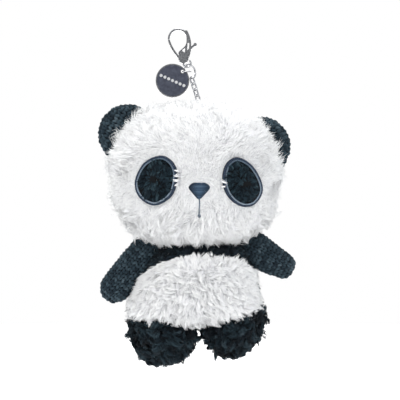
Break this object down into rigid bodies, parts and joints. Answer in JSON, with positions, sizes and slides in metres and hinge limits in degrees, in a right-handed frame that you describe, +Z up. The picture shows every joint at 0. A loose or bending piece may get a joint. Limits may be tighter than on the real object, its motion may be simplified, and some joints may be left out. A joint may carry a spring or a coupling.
{
  "type": "plush keychain",
  "caption": "Plush panda bag charm with a fluffy head and belly, knitted ears and arms, and shaggy legs, hung by a short chain and round tag from a sprung lobster clasp.",
  "frame": {"origin": "centre of the round seat inside the clasp's hook, midway through the clasp's thickness", "axes": "+Z up, along the hanging charm's length; -Y is the front, where the face is; +X to the right as seen from the front"},
  "size_m": [0.1015, 0.065, 0.1741],
  "materials": {
    "nickel": "polished",
    "spring_steel": "satin",
    "enamel": "gloss",
    "tape": "matte",
    "white_pile": "matte",
    "dark_pile": "matte",
    "knit": "matte",
    "chenille": "matte",
    "embroidery": "satin",
    "stuffing": "matte"
  },
  "bodies": {
    "clasp": {"clasp_body": "nickel", "clasp_pin": "nickel", "clasp_spring": "spring_steel"},
    "lever": {"clasp_lever": "nickel"},
    "ring": {"jump_ring": "nickel"},
    "tag_link": {"tag_ring": "nickel"},
    "tag": {"tag_disc": "nickel", "tag_enamel": "enamel", "tag_studs": "nickel"},
    "link_1": {"chain_link_1": "nickel"},
    "link_2": {"chain_link_2": "nickel"},
    "link_3": {"chain_link_3": "nickel"},
    "link_4": {"chain_link_4": "nickel"},
    "head": {"loop_tape": "tape", "head_skin": "white_pile", "head_stuffing": "stuffing", "eye_patch_left": "chenille", "eye_patch_right": "chenille", "eye_border_left": "embroidery", "eye_border_right": "embroidery", "nose": "embroidery", "mouth_stitch": "embroidery"},
    "ear_left": {"ear_skin_left": "knit", "ear_padding_left": "stuffing"},
    "ear_right": {"ear_skin_right": "knit", "ear_padding_right": "stuffing"},
    "torso": {"belly_panel": "white_pile", "chest_band": "dark_pile", "back_panel": "dark_pile", "body_stuffing": "stuffing"},
    "arm_left": {"arm_skin_left": "knit", "arm_stuffing_left": "stuffing"},
    "arm_right": {"arm_skin_right": "knit", "arm_stuffing_right": "stuffing"},
    "leg_left": {"leg_skin_left": "dark_pile", "leg_stuffing_left": "stuffing"},
    "leg_right": {"leg_skin_right": "dark_pile", "leg_stuffing_right": "stuffing"}
  },
  "joints": [
    {"name": "lever_hinge", "type": "hinge", "parent": "clasp", "child": "lever", "pos_m": [0.0027, 0, -0.0103], "axis": [0, 1, 0], "range_deg": [0, 32], "stiffness_Nm_per_rad": 0.002, "springref_deg": -11.46, "deforming": ["clasp_spring"]},
    {"name": "ring_swing", "type": "hinge", "parent": "clasp", "child": "ring", "pos_m": [0.00516, 0, -0.01472], "axis": [0.9563, 0, 0.2924], "range_deg": [-14, 14]},
    {"name": "tag_ring_turn", "type": "hinge", "parent": "ring", "child": "tag_link", "pos_m": [0.00308, -0.00247, -0.01731], "axis": [0, 0, 1], "range_deg": [-10, 10]},
    {"name": "tag_swing", "type": "hinge", "parent": "tag_link", "child": "tag", "pos_m": [0.00225, -0.00375, -0.0173], "axis": [0, 1, 0], "range_deg": [-25, 25]},
    {"name": "link_1_swing", "type": "hinge", "parent": "ring", "child": "link_1", "pos_m": [0.00701, 0, -0.02079], "axis": [0.7107, 0.6691, 0.2173], "range_deg": [-25, 25]},
    {"name": "link_2_swing", "type": "hinge", "parent": "link_1", "child": "link_2", "pos_m": [0.00795, 0, -0.02385], "axis": [-0.6399, 0.7431, -0.1956], "range_deg": [-25, 25]},
    {"name": "link_3_swing", "type": "hinge", "parent": "link_2", "child": "link_3", "pos_m": [0.00888, 0, -0.02691], "axis": [-0.7107, -0.6691, -0.2173], "range_deg": [-25, 25]},
    {"name": "link_4_swing", "type": "hinge", "parent": "link_3", "child": "link_4", "pos_m": [0.00982, 0, -0.02997], "axis": [0.6399, -0.7431, 0.1956], "range_deg": [-25, 25]},
    {"name": "head_swing", "type": "hinge", "parent": "link_4", "child": "head", "pos_m": [0.01075, 0, -0.03303], "axis": [0.7107, 0.6691, 0.2173], "range_deg": [-14, 14]},
    {"name": "neck_nod", "type": "hinge", "parent": "head", "child": "torso", "pos_m": [0.0086, 0, -0.1062], "axis": [1, 0, 0], "range_deg": [-12, 12], "stiffness_Nm_per_rad": 0.03},
    {"name": "ear_left_fold", "type": "hinge", "parent": "head", "child": "ear_left", "pos_m": [-0.02684, 0, -0.04917], "axis": [0.6408, 0, 0.7677], "range_deg": [-15, 15], "stiffness_Nm_per_rad": 0.01},
    {"name": "ear_right_fold", "type": "hinge", "parent": "head", "child": "ear_right", "pos_m": [0.04749, 0, -0.05413], "axis": [0.503, 0, -0.8643], "range_deg": [-15, 15], "stiffness_Nm_per_rad": 0.01},
    {"name": "arm_left_swing", "type": "hinge", "parent": "torso", "child": "arm_left", "pos_m": [-0.0144, 0, -0.1098], "axis": [0, 1, 0], "range_deg": [-3, 35], "stiffness_Nm_per_rad": 0.01},
    {"name": "arm_right_swing", "type": "hinge", "parent": "torso", "child": "arm_right", "pos_m": [0.038, 0, -0.1093], "axis": [0, -1, 0], "range_deg": [-25, 30], "stiffness_Nm_per_rad": 0.01},
    {"name": "leg_left_swing", "type": "hinge", "parent": "torso", "child": "leg_left", "pos_m": [-0.0083, 0, -0.149], "axis": [1, 0, 0], "range_deg": [-20, 20], "stiffness_Nm_per_rad": 0.01},
    {"name": "leg_right_swing", "type": "hinge", "parent": "torso", "child": "leg_right", "pos_m": [0.028, 0, -0.1465], "axis": [1, 0, 0], "range_deg": [-20, 20], "stiffness_Nm_per_rad": 0.01}
  ]
}
